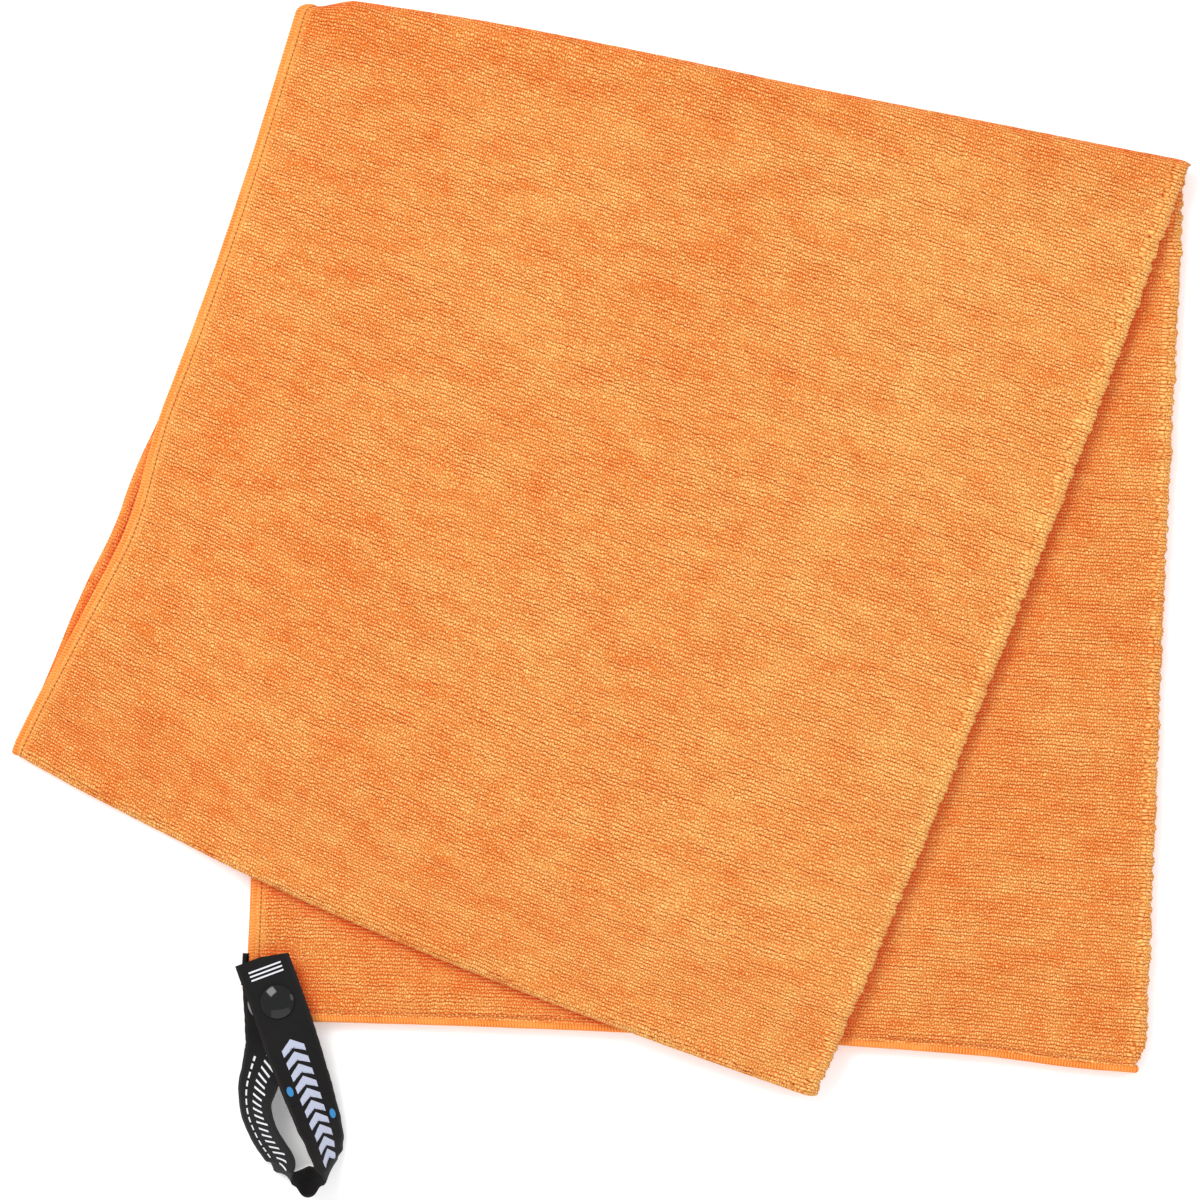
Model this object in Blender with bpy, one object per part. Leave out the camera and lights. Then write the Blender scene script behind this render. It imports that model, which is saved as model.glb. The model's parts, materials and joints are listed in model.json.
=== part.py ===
"""Quick dry towel, folded into eight plies, with a ribbon strap and a snap at one corner.

The long terry sheet is folded in half lengthwise, folded in half at the bottom fold and in
half again at the top fold. The lower panel lies on the ground, the upper panel hinges on it
at the top fold. Lengths below are in millimetres; the frame is +Z up, with +X along the
lower panel's end hem and +Y away from the strap.
"""

import math

import bmesh
import bpy
from mathutils import Vector

MM = 0.001
FRAME_SHIFT = (-1.4, -2.7)  # puts the origin at the middle of the whole outline

# Cloth
PLY = 1.0  # one ply of pressed terry
SLIT = 1.05  # air between the two plies of a leaf; the strap's root fits in it
LEAF = 2 * PLY + SLIT  # two plies, joined by the lengthwise fold at the right
GAP = 0.3  # clearance between neighbouring solids
HEM = 3.4  # width of the overlocked edge
THREAD = 0.4  # topstitch thread
THREAD_LIFT = 0.3  # how far a topstitch lies above the underside of its ply
HEM_STEP = HEM + THREAD + 2 * GAP  # from the cut edge to the open terry
STACK = 4 * LEAF + 3 * GAP
AXIS_Z = STACK / 2  # height of the top fold's hinge line

# Top fold line: the hinge axis in plan
TOP_FOLD_SLOPE = -0.1317
TOP_FOLD_Y = 199.5

# Panel outlines: corners in plan, then how far each side bows outwards
LEFT_X = -117.0
LOWER_RIGHT_X = 209.0
LOWER_END_Y = -153.5
LOWER_RIGHT_BOW = 1.5
UPPER_BOTTOM_LEFT = (-207.5, -61.0)
UPPER_BOTTOM_RIGHT = (92.5, -170.5)
UPPER_RIGHT_X = 208.0
UPPER_LEFT_BOW = -5.5
UPPER_RIGHT_BOW = 3.0
UPPER_BOTTOM_BOW = 7.0

# Steps along the panels
ACROSS = 8
ALONG = 6
ARC = 6

# Ribbon strap: plan position, roll about its own line in degrees, height of its middle
RIBBON_WIDTH = 20.0
RIBBON_THICK = 0.45
RIBBON_STATIONS = (
    (-109.0, -136.0, 0, 7.75),
    (-109.1, -146.0, 0, 7.75),
    (-109.4, -156.0, 0, 7.75),
    (-110.3, -165.0, 15, 6.5),
    (-111.4, -176.0, 44, 7.6),
    (-111.2, -187.0, 50, 8.2),
    (-106.5, -197.8, 56, 8.7),
    (-99.4, -206.8, 74, 10.2),
    (-92.6, -212.8, 104, 10.2),
    (-85.7, -211.2, 112, 10.0),
    (-82.8, -203.6, 88, 10.5),
    (-84.3, -194.2, 54, 10.6),
    (-88.6, -184.3, 38, 11.6),
    (-93.4, -174.4, 26, 12.6),
    (-98.4, -164.0, 12, 13.2),
    (-102.1, -155.0, 0, 12.9),
    (-105.6, -146.7, 0, 12.9),
    (-111.7, -132.0, 0, 12.9),
)
STEPS_PER_STATION = 3
REAR_LIMB = (0, 5)  # stations that each ribbon section spans
BEND = (5, 12)
FRONT_LIMB = (12, 14)
PULL_TAB = (14, 17)

# Strap root, sewn into the side seam at the corner
ROOT_Y = (-142.0, -130.0)
ROOT_INNER_X = -100.0
ROOT_OUTER_X = -119.4
ROOT_TOP_Z = 6.95
ROOT_LIP_X = -117.9
BARTACK_X = (-112.5, -101.5)
BARTACK_Y = (-135.3, -134.3)

# Snap
STUD_AT = (-110.2, -147.8)
CAP_AT = (-105.6, -146.7)
SNAP_HOLE = 1.4  # radius of the rivet hole in the ribbon
DRILL_REACH = 2.0
SNAP_SEGMENTS = 28
STUD_PROFILE = (
    (0.0, 9.8), (1.3, 9.8), (1.3, 8.3), (6.2, 8.3), (6.35, 8.6), (6.0, 9.05), (4.8, 9.05),
    (4.3, 8.75), (2.3, 8.75), (2.0, 9.3), (2.15, 10.1), (1.6, 10.55), (0.0, 10.55),
)
BACK_PROFILE = ((0.0, 6.68), (4.6, 6.68), (4.9, 6.9), (4.7, 7.2), (1.0, 7.2), (1.0, 9.4), (0.0, 9.4))
SOCKET_PROFILE = (
    (1.3, 12.35), (1.3, 11.95), (2.6, 11.95), (2.6, 10.9), (4.7, 10.9), (5.2, 11.25),
    (5.2, 12.0), (4.8, 12.35),
)
CAP_PROFILE = (
    (0.0, 12.1), (1.0, 12.1), (1.0, 13.45), (5.9, 13.45), (6.2, 13.65), (6.15, 13.95),
    (5.7, 14.35), (4.8, 14.75), (3.4, 15.15), (1.7, 15.38), (0.0, 15.45),
)

MATERIALS = {
    "terry": ((0.86, 0.31, 0.07), 0.95, 0.0),
    "hem": ((0.80, 0.24, 0.04), 0.9, 0.0),
    "thread": ((0.72, 0.19, 0.03), 0.7, 0.0),
    "ribbon": ((0.018, 0.016, 0.015), 0.55, 0.0),
    "snap_cap": ((0.02, 0.02, 0.022), 0.2, 0.0),
    "snap_metal": ((0.42, 0.42, 0.43), 0.3, 1.0),
}


def placed(point):
    """A point in millimetres as metres in the part's frame."""
    return Vector((point.x + FRAME_SHIFT[0], point.y + FRAME_SHIFT[1], point.z)) * MM


def clear_scene():
    for obj in list(bpy.data.objects):
        bpy.data.objects.remove(obj, do_unlink=True)


def make_material(slot):
    colour, roughness, metallic = MATERIALS[slot]
    material = bpy.data.materials.new(slot)
    material.use_nodes = True
    shader = material.node_tree.nodes["Principled BSDF"]
    shader.inputs["Base Color"].default_value = (*colour, 1.0)
    shader.inputs["Roughness"].default_value = roughness
    shader.inputs["Metallic"].default_value = metallic
    return material


def add_object(name, mesh_maker, slot, parent=None, smooth=True):
    """Turns a bmesh into a named object, hung on its joint's empty where it moves."""
    bmesh.ops.recalc_face_normals(mesh_maker, faces=mesh_maker.faces)
    mesh = bpy.data.meshes.new(name)
    mesh_maker.to_mesh(mesh)
    mesh_maker.free()
    if smooth:
        mesh.shade_smooth()
        mesh.set_sharp_from_angle(angle=math.radians(40))
    obj = bpy.data.objects.new(name, mesh)
    bpy.context.collection.objects.link(obj)
    obj.data.materials.append(make_material(slot))
    if parent:
        obj.parent = parent
        obj.matrix_parent_inverse = parent.matrix_world.inverted()
    return obj


def solid_between(outer, inner):
    """A closed solid between two grids of points of the same size."""
    bm = bmesh.new()
    rows, columns = len(outer), len(outer[0])
    skins = [[[bm.verts.new(placed(p)) for p in row] for row in grid] for grid in (outer, inner)]
    top, bottom = skins
    for j in range(rows - 1):
        for i in range(columns - 1):
            for skin in skins:
                bm.faces.new((skin[j][i], skin[j][i + 1], skin[j + 1][i + 1], skin[j + 1][i]))
    for j in range(rows - 1):
        for i in (0, columns - 1):
            bm.faces.new((top[j][i], top[j + 1][i], bottom[j + 1][i], bottom[j][i]))
    for i in range(columns - 1):
        for j in (0, rows - 1):
            bm.faces.new((top[j][i], top[j][i + 1], bottom[j][i + 1], bottom[j][i]))
    return bm


def swept(sections):
    """A closed solid through a list of sections, each a ring of points."""
    bm = bmesh.new()
    rings = [[bm.verts.new(placed(p)) for p in ring] for ring in sections]
    size = len(rings[0])
    for ring, following in zip(rings, rings[1:]):
        for i in range(size):
            k = (i + 1) % size
            bm.faces.new((ring[i], ring[k], following[k], following[i]))
    bm.faces.new(rings[0])
    bm.faces.new(rings[-1])
    return bm


def top_fold_y(x):
    return TOP_FOLD_Y + TOP_FOLD_SLOPE * x


def bowed(start, end, bow):
    """A side between two plan points that bows to its right by bow at mid length."""
    start, end = Vector(start), Vector(end)
    run = end - start
    right = Vector((run.y, -run.x)).normalized()
    return lambda t: start + run * t + right * (bow * 4 * t * (1 - t))


class Panel:
    """A four-sided outline in plan: u runs left to right, v from the bottom to the top fold."""

    def __init__(self, corners, left_bow, right_bow, bottom_bow):
        bottom_left, bottom_right, top_right, top_left = [Vector(c) for c in corners]
        self.corners = (bottom_left, bottom_right, top_right, top_left)
        self.bottom = bowed(bottom_left, bottom_right, bottom_bow)
        self.top = bowed(top_left, top_right, 0.0)
        self.left = bowed(bottom_left, top_left, -left_bow)
        self.right = bowed(bottom_right, top_right, right_bow)

    def at(self, u, v):
        bottom_left, bottom_right, top_right, top_left = self.corners
        ruled = self.bottom(u) * (1 - v) + self.top(u) * v
        ruled += self.left(v) * (1 - u) + self.right(v) * u
        flat = bottom_left * ((1 - u) * (1 - v)) + bottom_right * (u * (1 - v))
        return ruled - flat - top_right * (u * v) - top_left * ((1 - u) * v)

    def inside(self, u, v, from_left=0.0, from_right=0.0):
        """The point (u, v) of the outline drawn in by these distances at its two sides."""
        width = (self.at(1, v) - self.at(0, v)).length
        return self.at((from_left + u * (width - from_left - from_right)) / width, v)

    def height_share(self, distance, u=0.5):
        """How much of v is this distance, measured up from the bottom side."""
        return distance / (self.at(u, 1) - self.at(u, 0)).length


def raised(plan, z):
    return Vector((plan.x, plan.y, z))


def leaf(panel, z, v_range, from_left, steps):
    """Two plies joined by a round fold along the panel's right side."""
    outer, inner = [], []
    half = LEAF / 2
    for j in range(steps + 1):
        v = v_range[0] + (v_range[1] - v_range[0]) * j / steps
        flat = [panel.inside(i / ACROSS, v, from_left, half) for i in range(ACROSS + 1)]
        outward = (panel.at(1, v) - panel.at(0, v)).normalized()
        row_out = [raised(p, z) for p in flat]
        row_in = [raised(p, z + PLY) for p in flat]
        for k in range(1, ARC):
            turn = math.pi * k / ARC - math.pi / 2
            for row, radius in ((row_out, half), (row_in, SLIT / 2)):
                plan = flat[-1] + outward * (radius * math.cos(turn))
                row.append(raised(plan, z + half + radius * math.sin(turn)))
        row_out += [raised(p, z + LEAF) for p in reversed(flat)]
        row_in += [raised(p, z + LEAF - PLY) for p in reversed(flat)]
        outer.append(row_out)
        inner.append(row_in)
    return solid_between(outer, inner)


def side_strip(panel, z, thick, near, far, v_range=(0.0, 1.0)):
    """A strip that follows the panel's left side, from near to far inside the cut edge."""
    rings = []
    for j in range(ALONG + 1):
        v = v_range[0] + (v_range[1] - v_range[0]) * j / ALONG
        a, b = panel.inside(0, v, near), panel.inside(0, v, far)
        rings.append([raised(a, z), raised(b, z), raised(b, z + thick), raised(a, z + thick)])
    return swept(rings)


def end_thread(z):
    """The straight topstitch beside an end hem."""
    y0 = LOWER_END_Y + HEM + GAP
    section = ((y0, z), (y0 + THREAD, z), (y0 + THREAD, z + THREAD), (y0, z + THREAD))
    ends = (LEFT_X + HEM_STEP, LOWER_RIGHT_X - LEAF)
    return swept([[Vector((x, y, height)) for y, height in section] for x in ends])


def fold_round(line, outwards, centre_z, inner_radius, outer_radius):
    """A half-round fold swept along a line of plan points."""
    outer, inner = [], []
    for plan, outward in zip(line, outwards):
        rows = ([], [])
        for k in range(2 * ARC + 1):
            turn = math.pi * k / (2 * ARC) - math.pi / 2
            for row, radius in zip(rows, (outer_radius, inner_radius)):
                shifted = plan + outward * (radius * math.cos(turn))
                row.append(raised(shifted, centre_z + radius * math.sin(turn)))
        outer.append(rows[0])
        inner.append(rows[1])
    return solid_between(outer, inner)


def turned(profile, centre):
    """A turned solid from a closed profile of (radius, height); radius 0 is on the axis."""
    bm = bmesh.new()
    rings = []
    for radius, z in profile:
        if radius == 0:
            rings.append([bm.verts.new(placed(Vector((centre[0], centre[1], z))))])
            continue
        ring = []
        for k in range(SNAP_SEGMENTS):
            turn = 2 * math.pi * k / SNAP_SEGMENTS
            x = centre[0] + radius * math.cos(turn)
            y = centre[1] + radius * math.sin(turn)
            ring.append(bm.verts.new(placed(Vector((x, y, z)))))
        rings.append(ring)
    pairs = list(zip(rings, rings[1:]))
    if len(rings[0]) > 1:
        pairs.append((rings[-1], rings[0]))
    for a, b in pairs:
        for k in range(SNAP_SEGMENTS):
            n = (k + 1) % SNAP_SEGMENTS
            if len(a) == 1 and len(b) > 1:
                bm.faces.new((a[0], b[k], b[n]))
            elif len(b) == 1 and len(a) > 1:
                bm.faces.new((a[k], a[n], b[0]))
            elif len(a) > 1:
                bm.faces.new((a[k], a[n], b[n], b[k]))
    return bm


def smooth_step(t):
    return t * t * (3 - 2 * t)


def ribbon_at(t):
    """Middle, direction and width direction of the ribbon at station number t."""
    last = len(RIBBON_STATIONS) - 1
    k = min(int(t), last - 1)
    f = t - k
    points = [Vector(RIBBON_STATIONS[min(max(n, 0), last)][:2]) for n in range(k - 1, k + 3)]
    p0, p1, p2, p3 = points
    plan = (2 * p1 + (p2 - p0) * f + (2 * p0 - 5 * p1 + 4 * p2 - p3) * f * f
            + (3 * p1 - p0 - 3 * p2 + p3) * f ** 3) / 2
    run = ((p2 - p0) + 2 * (2 * p0 - 5 * p1 + 4 * p2 - p3) * f
           + 3 * (3 * p1 - p0 - 3 * p2 + p3) * f * f) / 2
    share = smooth_step(f)
    roll, z = [RIBBON_STATIONS[k][n] * (1 - share) + RIBBON_STATIONS[k + 1][n] * share for n in (2, 3)]
    run.normalize()
    left = Vector((-run.y, run.x, 0))
    turn = math.radians(roll)
    across = left * math.cos(turn) + Vector((0, 0, math.sin(turn)))
    return raised(plan, z), Vector((run.x, run.y, 0)), across


def ribbon(first, last):
    """A section of the ribbon between two stations, with half a gap at each inner end."""
    end_share = 0.5 * GAP / 10
    start = first + (end_share if first > 0 else 0)
    stop = last - (end_share if last < len(RIBBON_STATIONS) - 1 else 0)
    count = (last - first) * STEPS_PER_STATION
    rings = []
    for n in range(count + 1):
        middle, run, across = ribbon_at(start + (stop - start) * n / count)
        side = across * (RIBBON_WIDTH / 2)
        face = run.cross(across).normalized() * (RIBBON_THICK / 2)
        low, high = middle - face, middle + face
        rings.append([low - side, low + side, high + side, high - side])
    return swept(rings)


def drill(obj, centre, z):
    """Cuts the rivet hole of a snap half through a ribbon section."""
    low, high = z - DRILL_REACH, z + DRILL_REACH
    bm = turned(((0.0, low), (SNAP_HOLE, low), (SNAP_HOLE, high), (0.0, high)), centre)
    cutter = add_object(obj.name + "_hole", bm, "ribbon", smooth=False)
    cutter.hide_render = True
    cutter.display_type = "WIRE"
    cut = obj.modifiers.new("hole", "BOOLEAN")
    cut.operation = "DIFFERENCE"
    cut.solver = "EXACT"
    cut.object = cutter


def joint_empty(name, place):
    empty = bpy.data.objects.new(name, None)
    empty.location = placed(place)
    bpy.context.collection.objects.link(empty)
    bpy.context.view_layer.update()
    return empty


def build_towel():
    margin = GAP / 2
    lower = Panel(
        ((LEFT_X, LOWER_END_Y), (LOWER_RIGHT_X, LOWER_END_Y),
         (LOWER_RIGHT_X, top_fold_y(LOWER_RIGHT_X) - margin), (LEFT_X, top_fold_y(LEFT_X) - margin)),
        0.0, LOWER_RIGHT_BOW, 0.0)
    upper = Panel(
        (UPPER_BOTTOM_LEFT, UPPER_BOTTOM_RIGHT,
         (UPPER_RIGHT_X, top_fold_y(UPPER_RIGHT_X) - margin), (LEFT_X, top_fold_y(LEFT_X) - margin)),
        UPPER_LEFT_BOW, UPPER_RIGHT_BOW, UPPER_BOTTOM_BOW)
    hinge = joint_empty("top_fold_axis", Vector((0, top_fold_y(0), AXIS_Z)))

    levels = [n * (LEAF + GAP) for n in range(4)]
    fold_radius = LEAF + GAP / 2  # the bottom fold wraps two leaves
    end_v = lower.height_share(HEM_STEP)
    fold_v = upper.height_share(fold_radius + GAP)
    leaves = (
        ("lower_panel_outer_leaf", lower, levels[0], (end_v, 1.0), None, 0),
        ("lower_panel_inner_leaf", lower, levels[1], (end_v, 1.0), None, 2),
        ("upper_panel_inner_leaf", upper, levels[2], (fold_v, 1.0), hinge, 4),
        ("upper_panel_outer_leaf", upper, levels[3], (fold_v, 1.0), hinge, 6),
    )
    for name, panel, z, v_range, parent, first_ply in leaves:
        add_object(name, leaf(panel, z, v_range, HEM_STEP, ALONG), "terry", parent)
        for ply in (0, 1):
            number = first_ply + ply + 1
            ply_z = z + ply * (PLY + SLIT)
            bottom_v = 0.0 if panel is lower else fold_v
            strip = side_strip(panel, ply_z, PLY, 0.0, HEM, (bottom_v, 1.0))
            add_object(f"side_hem_{number}", strip, "hem", parent)
            near = HEM + GAP
            stitch = side_strip(panel, ply_z + THREAD_LIFT, THREAD, near, near + THREAD, (fold_v, 1.0))
            add_object(f"side_topstitch_{number}", stitch, "thread", parent)

    for name, z in (("outer", levels[0]), ("inner", levels[1])):
        band = leaf(lower, z, (0.0, lower.height_share(HEM)), HEM_STEP, 1)
        add_object(f"end_hem_{name}", band, "hem")
    for number, z in enumerate((levels[0], levels[0] + PLY + SLIT, levels[1], levels[1] + PLY + SLIT), 1):
        add_object(f"end_topstitch_{number}", end_thread(z + THREAD_LIFT), "thread")

    ends = [lower.at(0, 1), lower.at(1, 1)]
    ends = [Vector((p.x, top_fold_y(p.x) + margin)) for p in ends]
    across_fold = Vector((ends[1].x - ends[0].x, ends[1].y - ends[0].y)).normalized()
    outward = Vector((-across_fold.y, across_fold.x))
    for name, inner_radius, outer_radius in (
        ("top_fold_inner", GAP / 2, GAP / 2 + LEAF), ("top_fold_outer", GAP * 1.5 + LEAF, AXIS_Z - 0.1)
    ):
        rounded = fold_round(ends, (outward, outward), AXIS_Z, inner_radius, outer_radius)
        add_object(name, rounded, "terry")

    edge_u = [0.5 * (1 - math.cos(math.pi * i / ACROSS)) for i in range(ACROSS + 1)]
    line = [upper.at(u, fold_v) - (upper.at(u, fold_v) - upper.at(u, 0)).normalized() * GAP for u in edge_u]
    outwards = [(upper.at(u, 0) - upper.at(u, fold_v)).normalized() for u in edge_u]
    middle_z = levels[2] + LEAF + GAP / 2
    rounded = fold_round(line, outwards, middle_z, GAP / 2, fold_radius)
    add_object("bottom_fold", rounded, "terry", hinge)
    return levels


def build_strap(levels):
    slit_z = levels[1] + PLY + SLIT / 2
    swing = joint_empty("strap_swing_axis", Vector((-109.0, -131.0, 8.0)))
    tab_middle, _, _ = ribbon_at(PULL_TAB[0])
    tab_hinge = joint_empty("pull_tab_axis", tab_middle)
    tab_hinge.parent = swing
    tab_hinge.matrix_parent_inverse = swing.matrix_world.inverted()
    bpy.context.view_layer.update()

    half = RIBBON_THICK / 2
    path = [(ROOT_INNER_X, slit_z), (ROOT_OUTER_X + 0.6, slit_z), (ROOT_OUTER_X, slit_z + 0.6),
            (ROOT_OUTER_X, ROOT_TOP_Z - 0.6), (ROOT_OUTER_X + 0.6, ROOT_TOP_Z), (ROOT_LIP_X, ROOT_TOP_Z)]
    rings = []
    for n, (x, z) in enumerate(path):
        before, after = path[max(n - 1, 0)], path[min(n + 1, len(path) - 1)]
        run = Vector((after[0] - before[0], after[1] - before[1])).normalized()
        off = Vector((-run.y, run.x)) * half
        ring = []
        for y, sign in ((ROOT_Y[0], 1), (ROOT_Y[1], 1), (ROOT_Y[1], -1), (ROOT_Y[0], -1)):
            ring.append(Vector((x + sign * off.x, y, z + sign * off.y)))
        rings.append(ring)
    add_object("strap_root", swept(rings), "ribbon")

    bar_z = levels[1] + LEAF + GAP
    (x0, x1), (y0, y1) = BARTACK_X, BARTACK_Y
    section = ((y0, bar_z), (y1, bar_z), (y1, bar_z + THREAD), (y0, bar_z + THREAD))
    rings = [[Vector((x, y, z)) for y, z in section] for x in (x0, x1)]
    add_object("root_bartack", swept(rings), "thread", smooth=False)

    rear = add_object("strap_rear_limb", ribbon(*REAR_LIMB), "ribbon", swing)
    drill(rear, STUD_AT, RIBBON_STATIONS[1][3])
    add_object("strap_bend", ribbon(*BEND), "ribbon", swing)
    add_object("strap_front_limb", ribbon(*FRONT_LIMB), "ribbon", swing)
    tab = add_object("pull_tab_ribbon", ribbon(*PULL_TAB), "ribbon", tab_hinge)
    drill(tab, CAP_AT, RIBBON_STATIONS[-2][3])

    add_object("snap_stud", turned(STUD_PROFILE, STUD_AT), "snap_metal", swing)
    add_object("snap_back_post", turned(BACK_PROFILE, STUD_AT), "snap_metal", swing)
    add_object("snap_socket", turned(SOCKET_PROFILE, CAP_AT), "snap_metal", tab_hinge)
    add_object("snap_cap", turned(CAP_PROFILE, CAP_AT), "snap_cap", tab_hinge)


clear_scene()
build_strap(build_towel())
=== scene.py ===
"""Quick dry towel: the looks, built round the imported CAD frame.

Lengths are in millimetres until a mesh is made. The towel is four leaves, each of two plies
joined by the lengthwise fold; the ribbon strap and its snap lie on the lower left corner.
"""

import json
import math

import bpy
import numpy as np
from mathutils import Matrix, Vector


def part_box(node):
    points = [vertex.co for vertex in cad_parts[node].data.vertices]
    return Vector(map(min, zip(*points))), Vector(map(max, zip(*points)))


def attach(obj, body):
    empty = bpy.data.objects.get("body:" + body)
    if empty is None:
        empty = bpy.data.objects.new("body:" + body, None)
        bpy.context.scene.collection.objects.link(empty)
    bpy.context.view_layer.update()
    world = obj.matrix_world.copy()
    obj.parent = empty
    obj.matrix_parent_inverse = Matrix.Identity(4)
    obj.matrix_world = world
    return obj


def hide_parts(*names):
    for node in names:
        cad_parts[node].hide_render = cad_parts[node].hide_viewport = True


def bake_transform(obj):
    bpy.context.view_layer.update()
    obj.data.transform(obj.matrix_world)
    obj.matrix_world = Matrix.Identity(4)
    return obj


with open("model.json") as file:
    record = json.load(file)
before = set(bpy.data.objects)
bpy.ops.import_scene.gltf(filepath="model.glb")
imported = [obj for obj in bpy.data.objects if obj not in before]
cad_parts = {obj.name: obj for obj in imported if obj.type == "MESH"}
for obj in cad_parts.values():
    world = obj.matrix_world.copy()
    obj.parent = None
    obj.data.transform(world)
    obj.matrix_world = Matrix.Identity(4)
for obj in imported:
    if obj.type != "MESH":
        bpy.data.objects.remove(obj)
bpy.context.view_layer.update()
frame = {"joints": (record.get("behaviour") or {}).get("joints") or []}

MM = 0.001

# Where the frame puts things
JOINTS = {j["name"]: j for j in frame["joints"]}
FOLD_POS = np.array(JOINTS["top_fold"]["pos_m"], float) / MM
FOLD_DIR = -np.array(JOINTS["top_fold"]["axis"], float)[:2]
FOLD_OUT = np.array((-FOLD_DIR[1], FOLD_DIR[0]))
FOLD_Z = FOLD_POS[2]


def box_mm(node):
    low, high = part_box(node)
    return np.array(low) / MM, np.array(high) / MM


LOW_IN, HIGH_IN = box_mm("lower_panel_inner_leaf")
LOW_OUT, HIGH_OUT = box_mm("lower_panel_outer_leaf")
UP_LOW_IN, UP_HIGH_IN = box_mm("upper_panel_inner_leaf")
UP_LOW_OUT, UP_HIGH_OUT = box_mm("upper_panel_outer_leaf")
HEM_LOW, HEM_HIGH = box_mm("side_hem_1")
END_LOW, END_HIGH = box_mm("end_hem_inner")
BOTTOM_FOLD_LOW, BOTTOM_FOLD_HIGH = box_mm("bottom_fold")
BOTTOM_FOLD_Z = (BOTTOM_FOLD_LOW[2] + BOTTOM_FOLD_HIGH[2]) / 2

# Sides of the upper panel
LEFT_BOW = 6.4  # how far the left side bows to the right, and the right side too
RIGHT_BOW = 2.8
LEFT_DENT = 2.0  # a dent in the left side, about a third of the way up

# Knit
RIB_LEFT = 1.26  # rib pitch along the left and the right side of the upper panel
RIB_RIGHT = 1.365
RIB_LOWER = 1.30
RIB_DEPTH = 0.26
ROWS_PER_RIB = 3
TICK = 1.1  # from one overlock thread to the next


# ---------------------------------------------------------------- small helpers

def lerp(a, b, t):
    return a + (b - a) * t


def smooth(t):
    t = np.clip(t, 0.0, 1.0)
    return t * t * (3 - 2 * t)


def unit(vectors):
    return vectors / np.linalg.norm(vectors, axis=1)[:, None]


def hill(t, middle, spread):
    """A bell from 0 to 1 round its middle."""
    return np.exp(-(((t - middle) / spread) ** 2))


def ripple(x, y, wave, seed, count=7):
    """Smooth hills and hollows of about this wavelength, from -1 to 1."""
    rng = np.random.default_rng(seed)
    total = np.zeros(np.broadcast(x, y).shape)
    for _ in range(count):
        turn = rng.uniform(0, 2 * math.pi)
        k = 2 * math.pi / (wave * rng.uniform(0.7, 1.6))
        total += np.cos(k * (x * math.cos(turn) + y * math.sin(turn)) + rng.uniform(0, 7))
    return total / math.sqrt(count) / 1.6


def mesh_object(name, points, faces, materials, uv=None, slots=None, painted_shading=None):
    """A smooth mesh from points in millimetres and quads or triangles."""
    mesh = bpy.data.meshes.new(name)
    points = np.asarray(points, np.float32) * MM
    if isinstance(faces, np.ndarray):
        size = faces.shape[1]
        mesh.vertices.add(len(points))
        mesh.vertices.foreach_set("co", points.ravel())
        mesh.loops.add(faces.size)
        mesh.loops.foreach_set("vertex_index", faces.ravel().astype(np.int32))
        mesh.polygons.add(len(faces))
        mesh.polygons.foreach_set("loop_start", np.arange(0, faces.size, size, dtype=np.int32))
        mesh.update(calc_edges=True)
    else:
        mesh.from_pydata(points.tolist(), [], [tuple(map(int, f)) for f in faces])
    if uv is not None:
        layer = mesh.uv_layers.new(name="fabric")
        corner = np.zeros(len(mesh.loops), np.int32)
        mesh.loops.foreach_get("vertex_index", corner)
        layer.data.foreach_set("uv", np.asarray(uv, np.float32)[corner].ravel())
    # painted shading per point, which the terry colour reads
    if painted_shading is not None:
        layer = mesh.attributes.new("painted_shading", "FLOAT", "POINT")
        layer.data.foreach_set("value", np.asarray(painted_shading, np.float32))
    for material in materials if isinstance(materials, (list, tuple)) else [materials]:
        mesh.materials.append(material)
    if slots is not None:
        mesh.polygons.foreach_set("material_index", np.asarray(slots, np.int32))
    mesh.validate()
    mesh.shade_smooth()
    obj = bpy.data.objects.new(name, mesh)
    bpy.context.collection.objects.link(obj)
    return obj


def grid_faces(rows, columns, closed=False):
    """Quads of a grid of points, wrapped round its columns if closed."""
    index = np.arange(rows * columns).reshape(rows, columns)
    if closed:
        index = np.concatenate([index, index[:, :1]], axis=1)
    corners = index[:-1, :-1], index[:-1, 1:], index[1:, 1:], index[1:, :-1]
    return np.stack(corners, -1).reshape(-1, 4)


# ---------------------------------------------------------------- materials

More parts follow.
